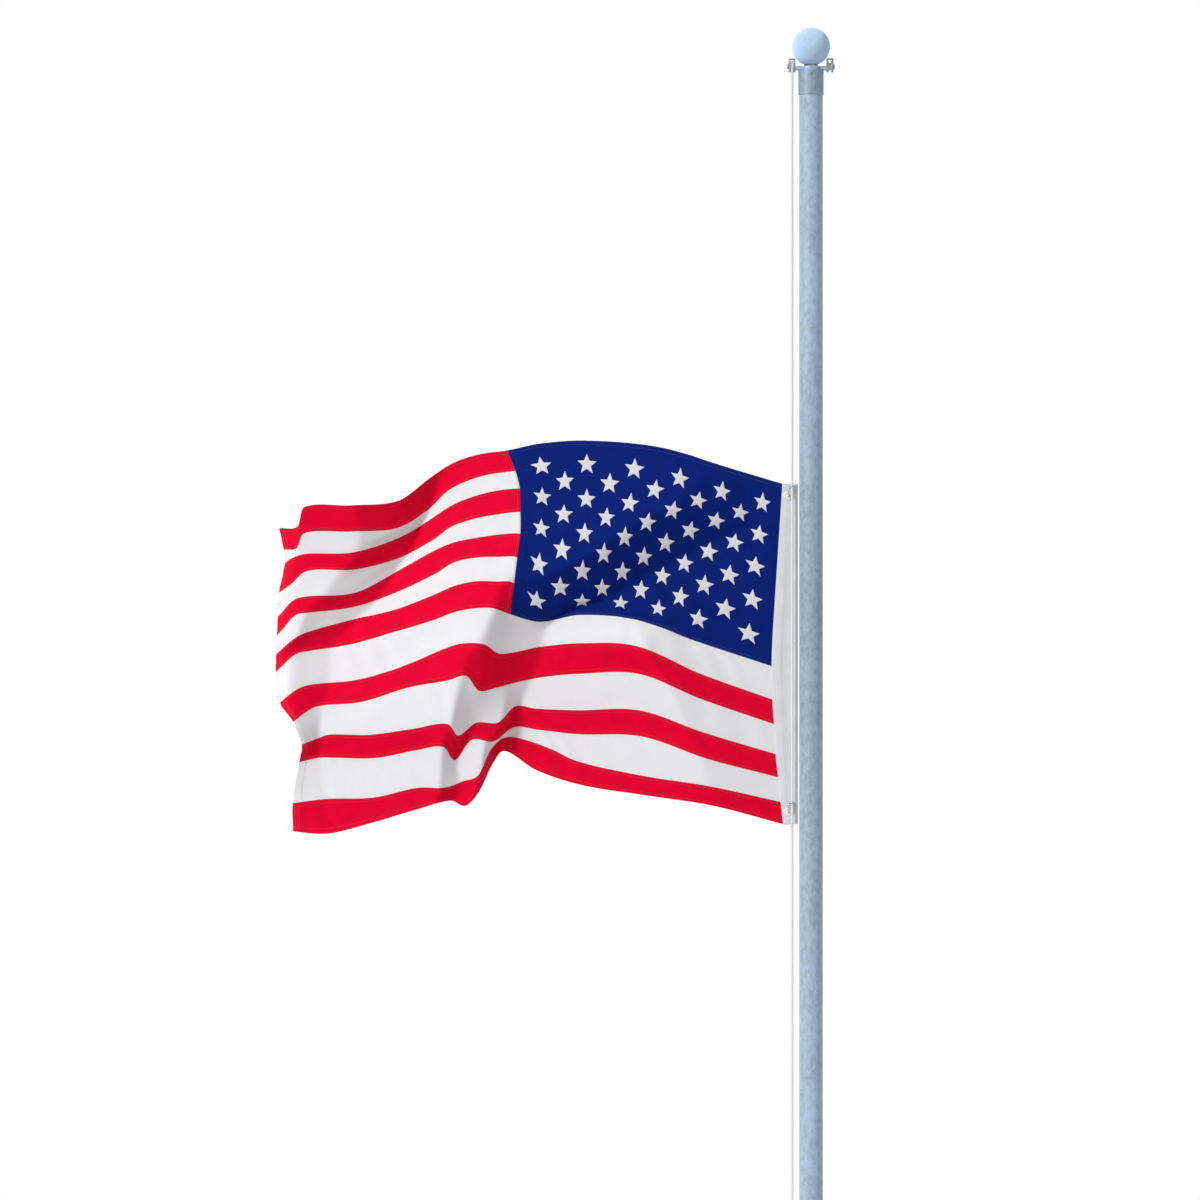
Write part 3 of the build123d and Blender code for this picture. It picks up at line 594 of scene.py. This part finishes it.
def grommet(z):
    """A rolled eyelet, the same on both faces of the band, with its bore along Y."""
    pile = Pile()
    half = HEADING_HALF + GROMMET_LIFT
    face = [(5.6, 0.4), (5.7, half + 0.9), (6.3, half + 1.5), (7.3, half + 1.6), (8.6, half + 1.3)]
    face += [(10.4, half + 1.0), (11.6, half + 0.8), (12.0, half + 0.5), (11.9, half + 0.15), (9.0, half)]
    profile = face + [(r, -h) for r, h in reversed(face)]
    turned(pile, profile, (-GROMMET_X, 0, z), (0, 1, 0))
    return pile


# ---- halyard and hooks ----
ROPE_R = 3.0
ROPE_GAP = 0.3                # between the falls and the turn round the cleat
FALL_X = 51.0                 # the falls from the pole's axis
FALL_Y = 12.5                 # half the distance between them
SHEAVE_Z = 4586.0
CLEAT_Z = 1300.0
FALL_POINTS = 411
BEND_POINTS = 24
CLEAT_TURN_POINTS = 72
HOOK_WIRE_R = 2.0
HOOK_EYE_R = 6.0
HOOK_EYE_RISE = 26.0
HOOK_EYE_POINTS = 48
HOOK_X = 59.8                 # the hook's wire, close to the side of the grommet's bore
HOOK_BARREL_X = HOOK_X - 0.6
HOOK_POINTS = 64


def snap_hook(z):
    """A swivel eye round the front fall, a barrel, and a tapered hook through the grommet."""
    pile = Pile()
    eye_z = z + HOOK_EYE_RISE
    turn = np.linspace(0, 2 * np.pi, HOOK_EYE_POINTS, endpoint=False)
    eye = np.stack([HOOK_EYE_R * np.cos(turn), HOOK_EYE_R * np.sin(turn), 0 * turn], -1)
    swell = HOOK_WIRE_R * (1 + 0.25 * np.exp(-((turn - np.pi) / 0.5) ** 2))
    bent(pile, eye + (-FALL_X, -FALL_Y, eye_z), swell, closed=True)
    barrel = [
        (0.2, 0), (2.9, 0), (3.4, -0.7), (3.4, -2.2), (2.9, -2.9),
        (2.9, -5.8), (3.5, -6.5), (3.5, -8.0), (2.8, -8.7), (0.2, -8.7),
    ]
    turned(pile, barrel, (-HOOK_BARREL_X, -FALL_Y, eye_z + 0.8), (0, 0, 1), segments=28)
    wire = smooth_path([
        (-HOOK_BARREL_X, -FALL_Y, eye_z - 6), (-HOOK_X, -FALL_Y, eye_z - 13),
        (-HOOK_X, -FALL_Y + 0.4, z + 5), (-HOOK_X, -FALL_Y + 4, z + 0.6),
        (-HOOK_X, -4, z), (-HOOK_X, 3, z), (-HOOK_X, 6.6, z - 1.4), (-HOOK_X, 7.4, z - 5.5),
        (-HOOK_X, 7.4, z - 9),
    ], HOOK_POINTS)
    share = np.linspace(0, 1, HOOK_POINTS)
    taper = 1 - 0.22 * smoothstep(0.7, 0.95, share)
    rounded_tip = np.sqrt(np.clip((1.012 - share) / 0.03, 0, 1))
    bent(pile, wire, HOOK_WIRE_R * taper * rounded_tip)
    return pile


def halyard():
    """One loop: up the front fall, over the sheave, down the back fall and under the cleat's stem."""
    pile = Pile()
    height = np.linspace(CLEAT_Z, SHEAVE_Z, FALL_POINTS)
    half_turn = np.linspace(0, np.pi, BEND_POINTS + 2)[1:-1]
    front = np.stack([np.zeros_like(height), np.full_like(height, -FALL_Y), height], -1)
    back = front[::-1] * (1, -1, 1)
    over = np.stack([0 * half_turn, -FALL_Y * np.cos(half_turn), SHEAVE_Z + FALL_Y * np.sin(half_turn)], -1)
    under = np.stack([0 * half_turn, FALL_Y * np.cos(half_turn), CLEAT_Z - FALL_Y * np.sin(half_turn)], -1)
    loop = np.concatenate([front, over, back, under]) + (-FALL_X, 0, 0)
    bent(pile, loop, ROPE_R, closed=True)
    return pile


def cleat_turn():
    """The halyard's turn round the cleat, further out than the falls."""
    pile = Pile()
    angle = np.linspace(0, 2 * np.pi, CLEAT_TURN_POINTS, endpoint=False)
    x = -(FALL_X + 2 * ROPE_R + ROPE_GAP)
    ring = np.stack([np.full_like(angle, x), FALL_Y * np.cos(angle), CLEAT_Z + FALL_Y * np.sin(angle)], -1)
    bent(pile, ring, ROPE_R, closed=True)
    return pile


# ---- shader nodes ----
def shader(name, **values):
    """A material and its surface node. values are the surface's inputs, with _ for a space."""
    material = bpy.data.materials.new(name)
    material.use_nodes = True
    surface = material.node_tree.nodes["Principled BSDF"]
    for key, value in values.items():
        surface.inputs[key.replace("_", " ")].default_value = value
    return material, surface


def add(owner, kind, inputs=None, **settings):
    """A shader node of a material or world. An input is a value, or another node's output to link."""
    tree = owner.node_tree
    made = tree.nodes.new("ShaderNode" + kind)
    for key, value in settings.items():
        setattr(made, key, value)
    for key, value in (inputs or {}).items():
        if isinstance(value, bpy.types.NodeSocket):
            tree.links.new(value, made.inputs[key])
        else:
            made.inputs[key].default_value = value
    return made


def link(owner, output, target):
    owner.node_tree.links.new(output, target)


def linear(red, green, blue):
    """A colour as a screen shows it, 0 to 255, in linear light."""
    return tuple(c / 12.92 if c <= 0.04045 else ((c + 0.055) / 1.055) ** 2.4
                 for c in (red / 255, green / 255, blue / 255)) + (1.0,)


def scaled(colour, share):
    """A colour made darker or lighter, kept within white."""
    return tuple(min(1.0, c * share) for c in colour[:3]) + (1.0,)


def ramp(material, factor, stops):
    """A colour read from (place, colour) stops, of which the first and the last are the ramp's own two."""
    made = add(material, "ValToRGB", {"Fac": factor})
    made.color_ramp.elements[0].position, made.color_ramp.elements[0].color = stops[0]
    made.color_ramp.elements[1].position, made.color_ramp.elements[1].color = stops[-1]
    for place, colour in stops[1:-1]:
        made.color_ramp.elements.new(place).color = colour
    return made.outputs["Color"]


def noise(material, vector, scale, detail, rough=0.5):
    made = add(material, "TexNoise", {"Vector": vector, "Scale": scale, "Detail": detail, "Roughness": rough})
    return made.outputs["Fac"]


def math_node(owner, operation, *values):
    return add(owner, "Math", dict(enumerate(values)), operation=operation).outputs[0]


def weighted(material, first, first_share, second, second_share):
    """The sum of two outputs, each times its share."""
    return math_node(material, "ADD", math_node(material, "MULTIPLY", first, first_share),
                     math_node(material, "MULTIPLY", second, second_share))


def wave(material, place, length):
    """A sine wave of a length in metres."""
    return math_node(material, "SINE", math_node(material, "MULTIPLY", place, 2 * math.pi / length))


def coordinates(material, kind, scale=(1, 1, 1)):
    source = add(material, "TexCoord")
    return add(material, "Mapping", {"Vector": source.outputs[kind], "Scale": scale}).outputs["Vector"]


def axes(material, kind):
    """The separate outputs X, Y and Z of a kind of coordinates."""
    return add(material, "SeparateXYZ", {"Vector": coordinates(material, kind)}).outputs


def paint(material, surface, factor, stops):
    link(material, ramp(material, factor, stops), surface.inputs["Base Color"])


def bump(material, surface, height, distance):
    made = add(material, "Bump", {"Height": height, "Distance": distance, "Strength": 1.0})
    link(material, made.outputs["Normal"], surface.inputs["Normal"])


# ---- finishes ----
STITCH = 0.0032               # from bead to bead
BRAID_STEP = 0.006            # from strand to strand along the rope
BRAID_STRANDS = 6             # each way round it
BLOTCH = 0.06                 # how much darker the oxide's blotches are
SHAFT_TOP = 4.572             # over the base's bottom face


def woven(name, colour, spacing=0.0011, mottle=0.10, sheen=0.012, depth=0.00012):
    """Plain-woven cloth: two sets of threads, uneven dye and a soft sheen."""
    material, surface = shader(name, Roughness=0.72, Sheen_Weight=sheen, Sheen_Roughness=0.5,
                               Specular_IOR_Level=0.05)
    flat = coordinates(material, "UV")
    place = add(material, "SeparateXYZ", {"Vector": flat}).outputs
    warp, weft = wave(material, place["X"], spacing), wave(material, place["Y"], spacing)
    weave = math_node(material, "MULTIPLY", warp, weft)
    slub = noise(material, coordinates(material, "UV", (1, 7, 1)), 95, 4)
    cloud = noise(material, flat, 24, 5, 0.65)
    shade = math_node(material, "ADD", weighted(material, slub, 0.5, cloud, 0.5),
                      math_node(material, "MULTIPLY", weave, 0.06))
    low, high = scaled(colour, 1 - mottle), scaled(colour, 1 + mottle * 0.6)
    paint(material, surface, shade, [(0.36, low), (0.5, colour), (0.64, high)])
    height = math_node(material, "ADD", weave, math_node(material, "MULTIPLY", slub, 0.8))
    bump(material, surface, height, depth)
    return material


def thread(name, colour):
    """Lock stitches: a row of short beads along the sewn line."""
    material, surface = shader(name, Roughness=0.6, Sheen_Weight=0.2)
    beat = wave(material, axes(material, "UV")["X"], STITCH)
    # Painted shade and highlight: the gaps between the beads are painted darker and their crests lighter.
    paint(material, surface, math_node(material, "MULTIPLY_ADD", beat, 0.5, 0.5),
          [(0.0, scaled(colour, 0.55)), (0.35, colour), (1.0, scaled(colour, 1.1))])
    bump(material, surface, beat, 0.0003)
    return material


def metal(name, colour, metallic, rough, streak=(60, 60, 1.5), streak_share=0.12, pits=0.0, speckle=0.0,
          dust=0.0, painted_shade=()):
    """Metal with streaks along Z or a sandy grain, uneven oxide, speckles, scuffs, dust and painted shade."""
    material, surface = shader(name, Metallic=metallic, Diffuse_Roughness=dust,
                               Specular_IOR_Level=0.5 + dust / 2)
    grain = noise(material, coordinates(material, "Object", streak), 14, 4, 0.6)
    cloud = noise(material, coordinates(material, "Object"), 9, 5, 0.6)
    scuff = noise(material, coordinates(material, "Object", (3, 3, 0.7)), 40, 6, 0.7)
    mixed = weighted(material, grain, 0.6, cloud, 0.4)
    if speckle:
        specks = noise(material, coordinates(material, "Object", (1, 1, 0.7)), 85, 3, 0.7)
        specks = math_node(material, "MULTIPLY_ADD", specks, speckle, -speckle / 2)
        mixed = math_node(material, "ADD", mixed, specks)
    low, high = scaled(colour, 1 - streak_share - BLOTCH), scaled(colour, 1 + streak_share)
    tone = ramp(material, mixed, [(0.32, low), (0.5, colour), (0.68, high)])
    # Painted shade: the colour darkens over a stretch of the height, standing in for the flag's shade on the
    # shaft.
    if painted_shade:
        height = math_node(material, "DIVIDE", axes(material, "Object")["Z"], SHAFT_TOP)
        painted_band = ramp(material, height, painted_shade)
        tone = add(material, "VectorMath", {0: tone, 1: painted_band}, operation="MULTIPLY").outputs["Vector"]
    link(material, tone, surface.inputs["Base Color"])
    uneven = math_node(material, "MULTIPLY_ADD", grain, 0.16, rough - 0.08)
    worn = math_node(material, "MULTIPLY_ADD", scuff, 0.18, -0.09)
    link(material, math_node(material, "ADD", uneven, worn), surface.inputs["Roughness"])
    if pits:
        sand = noise(material, coordinates(material, "Object"), 420, 3, 0.7)
        bump(material, surface, sand, pits)
    else:
        bump(material, surface, grain, 0.00006)
    return material


def rope_finish(name, colour):
    """Braided polyester: two sets of strands crossing round the rope."""
    material, surface = shader(name, Roughness=0.8, Sheen_Weight=0.25)
    place = axes(material, "UV")
    lead = math_node(material, "MULTIPLY", place["Y"], 2 * math.pi / BRAID_STEP)
    turn = math_node(material, "MULTIPLY", place["X"], 2 * math.pi * BRAID_STRANDS)
    right = math_node(material, "SINE", math_node(material, "ADD", turn, lead))
    left = math_node(material, "SINE", math_node(material, "SUBTRACT", turn, lead))
    strands = math_node(material, "MAXIMUM", right, left)
    cloud = noise(material, coordinates(material, "Object"), 60, 4)
    # The grooves between the strands are painted darker as painted shade and their crests lighter as a
    # painted highlight; the cloud adds a random tone.
    tone = math_node(material, "ADD", math_node(material, "MULTIPLY_ADD", strands, 0.22, 0.3),
                     math_node(material, "MULTIPLY", cloud, 0.4))
    paint(material, surface, tone, [(0.2, scaled(colour, 0.86)), (0.5, colour), (0.8, scaled(colour, 1.02))])
    bump(material, surface, strands, 0.0006)
    return material


def moulded(name, colour):
    """Turned nylon: fine tool rings and a soft gloss."""
    material, surface = shader(name)
    rings = noise(material, coordinates(material, "Object", (1, 30, 30)), 30, 3)
    cloud = noise(material, coordinates(material, "Object"), 80, 4)
    paint(material, surface, cloud, [(0.3, scaled(colour, 0.9)), (0.7, scaled(colour, 1.05))])
    link(material, math_node(material, "MULTIPLY_ADD", cloud, 0.2, 0.38), surface.inputs["Roughness"])
    bump(material, surface, rings, 0.00008)
    return material


RED = linear(238, 0, 50)
WHITE = linear(241, 240, 242)
BLUE = linear(6, 34, 118)
STEEL_BLUE = linear(164, 187, 207)
SHAFT_BLUE = linear(163, 187, 207)
# Painted shade of the flag on the shaft beside it, as (share of the shaft's height, what it lets through).
PAINTED_FLAG_SHADE = [
    (0.42, (1, 1, 1, 1)), (0.49, (1, 0.96, 0.95, 1)), (0.55, (0.95, 0.91, 0.88, 1)),
    (0.6, (0.88, 0.87, 0.84, 1)), (0.64, (0.83, 0.81, 0.79, 1)), (0.68, (0.81, 0.8, 0.77, 1)),
    (0.72, (0.82, 0.81, 0.79, 1)), (0.76, (0.87, 0.87, 0.86, 1)), (0.82, (1, 1, 1, 1)),
]
EVEN = (1, 1, 1)              # a cast or turned part's grain has no streaks

nylon_red = woven("nylon_red_finish", RED)
nylon_white = woven("nylon_white_finish", WHITE, mottle=0.03)
nylon_blue = woven("nylon_blue_finish", BLUE, mottle=0.16)
star_white = woven("star_finish", linear(238, 238, 242), spacing=0.0009, mottle=0.04, depth=0.0002)
canvas = woven("canvas_finish", linear(244, 244, 248), spacing=0.0014, mottle=0.05, sheen=0.05, depth=0.0003)
shaft_finish = metal("shaft_finish", SHAFT_BLUE, 0.1, 0.5, speckle=1.2, dust=0.6, painted_shade=PAINTED_FLAG_SHADE)
collar_finish = metal("collar_finish", scaled(STEEL_BLUE, 0.70), 0.3, 0.55, speckle=1.0)
cast_finish = metal("cast_finish", scaled(STEEL_BLUE, 0.92), 0.4, 0.5, EVEN, pits=0.0003)
ball_finish = metal("ball_surface", scaled(STEEL_BLUE, 1.46), 0.0, 0.8, EVEN, 0.04, pits=0.0001,
                    speckle=0.6, dust=1.0)
steel_finish = metal("fastener_finish", linear(120, 128, 138), 0.9, 0.36, EVEN, pits=0.0001)
sheave_finish = moulded("sheave_finish", linear(196, 202, 208))
halyard_finish = rope_finish("halyard_finish", linear(251, 251, 251))
grommet_finish = metal("grommet_surface", linear(222, 220, 212), 0.5, 0.45, EVEN)
snap_finish = metal("snap_surface", linear(176, 182, 190), 0.85, 0.32, EVEN, pits=0.0001)

NODE_FINISHES = {
    "base_shoe": cast_finish,
    "base_set_screws": steel_finish,
    "shaft_lower_section": shaft_finish,
    "shaft_middle_section": shaft_finish,
    "shaft_upper_section": shaft_finish,
    "shaft_top_section": shaft_finish,
    "truck_collar": collar_finish,
    "truck_set_screws": steel_finish,
    "truck_head": cast_finish,
    "left_sheave": sheave_finish,
    "right_sheave": sheave_finish,
    "left_sheave_axle": steel_finish,
    "right_sheave_axle": steel_finish,
    "finial_spindle": steel_finish,
    "finial_seat_nut": steel_finish,
    "finial_ball": ball_finish,
    "cleat": cast_finish,
    "cleat_screws": steel_finish,
}
for name, finish in NODE_FINISHES.items():
    nodes[name].data.materials.clear()
    nodes[name].data.materials.append(finish)


# ---- the flag's pieces ----
red_cloth = stripe_panels(0).piece("red_stripes", "flag", "nylon_red", nylon_red)
white_cloth = stripe_panels(1).piece("white_stripes", "flag", "nylon_white", nylon_white)
canton_cloth = canton_panel().piece("canton_cloth", "flag", "nylon_blue", nylon_blue)
star_pieces = stars().piece("canton_stars", "flag", "nylon_white", star_white)
red_thread, white_thread, blue_thread = stitching()
red_sewing = red_thread.piece("red_stitching", "flag", "nylon_red", thread("red_thread", scaled(RED, 0.8)))
white_sewing = white_thread.piece("white_stitching", "flag", "nylon_white", thread("white_thread", WHITE))
blue_sewing = blue_thread.piece("blue_stitching", "flag", "nylon_blue", thread("blue_thread", BLUE))
heading_band = heading().piece("heading_canvas_band", "flag", "heading_canvas", canvas)
heading_sewing = heading_stitching().piece("heading_stitching", "flag", "heading_canvas",
                                           thread("heading_thread", linear(236, 236, 238)))

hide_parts("flag_canton")
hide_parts(*[f"flag_stripe_{i + 1:02d}" for i in range(0, STRIPES, 2)])
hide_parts(*[f"flag_stripe_{i + 1:02d}" for i in range(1, STRIPES, 2)])
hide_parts("flag_heading")

for name, z in zip(("upper", "lower"), GROMMET_ZS):
    ring = grommet(z).piece(f"{name}_rolled_grommet", "flag", "grommet_brass", grommet_finish)
    hook = snap_hook(z).piece(f"{name}_swivel_hook", "flag", "snap_metal", snap_finish)
    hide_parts(f"{name}_grommet")
    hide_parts(f"{name}_snap_hook")

rope = halyard().piece("halyard_loop", "pole", "halyard_rope", halyard_finish)
turns = cleat_turn().piece("cleat_rope_turn", "pole", "halyard_rope", halyard_finish)
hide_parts("halyard_front_fall", "halyard_back_fall", "halyard_sheave_bend", "halyard_cleat_bend")
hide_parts("halyard_cleat_turn")

# ---- floor, light and camera ----
FLOOR_HALF = 6.0
FILL = 0.46                   # of the room's light on a surface, where the camera sees 1
KEY_ENERGY = 2.35
KEY_SOFTNESS = 0.25           # the angle that the key light spans, in radians
KEY_TURN = (60, 0, -50)       # in degrees
CAMERA_AT = (-0.5676, -12.105, 3.1513)
CAMERA_TURN = (90, 0, 0)
LENS = 135                    # in millimetres, and the sensor too
SENSOR = 36


def put(name, data, turn=(0, 0, 0), place=(0, 0, 0)):
    """An object in the scene, turned by degrees."""
    made = bpy.data.objects.new(name, data)
    made.location = place
    made.rotation_euler = [math.radians(angle) for angle in turn]
    bpy.context.scene.collection.objects.link(made)
    return made


def lay_floor():
    material, surface = shader("floor_finish", Roughness=0.9)
    tone = noise(material, coordinates(material, "Object"), 3, 3)
    paint(material, surface, tone, [(0.3, linear(233, 233, 234)), (0.7, linear(240, 240, 241))])
    corners = [(-1, -1), (1, -1), (1, 1), (-1, 1)]
    mesh = bpy.data.meshes.new("floor")
    mesh.from_pydata([(x * FLOOR_HALF, y * FLOOR_HALF, 0) for x, y in corners], [], [(0, 1, 2, 3)])
    mesh.materials.append(material)
    put("floor", mesh)


def light_room():
    """A white room, plain to the camera and in reflections and dimmer on surfaces."""
    world = bpy.data.worlds.new("studio")
    bpy.context.scene.world = world
    world.use_nodes = True
    ray = add(world, "LightPath").outputs
    plain = math_node(world, "MAXIMUM", ray["Is Camera Ray"], ray["Is Glossy Ray"])
    plain = math_node(world, "MAXIMUM", plain, ray["Is Transmission Ray"])
    level = add(world, "MapRange", {"Value": plain, "To Min": FILL, "To Max": 1.0})
    background = world.node_tree.nodes["Background"]
    background.inputs["Color"].default_value = (1, 1, 1, 1)
    link(world, level.outputs["Result"], background.inputs["Strength"])


def light_key():
    key = bpy.data.lights.new("key", "SUN")
    key.energy = KEY_ENERGY
    key.angle = KEY_SOFTNESS
    put("key", key, KEY_TURN)


def aim_camera():
    camera = bpy.data.cameras.new("camera")
    camera.lens = LENS
    camera.sensor_width = SENSOR
    camera.clip_end = 100
    bpy.context.scene.camera = put("camera", camera, CAMERA_TURN, CAMERA_AT)


lay_floor()
light_room()
light_key()
aim_camera()
bpy.context.scene.view_settings.view_transform = "Standard"
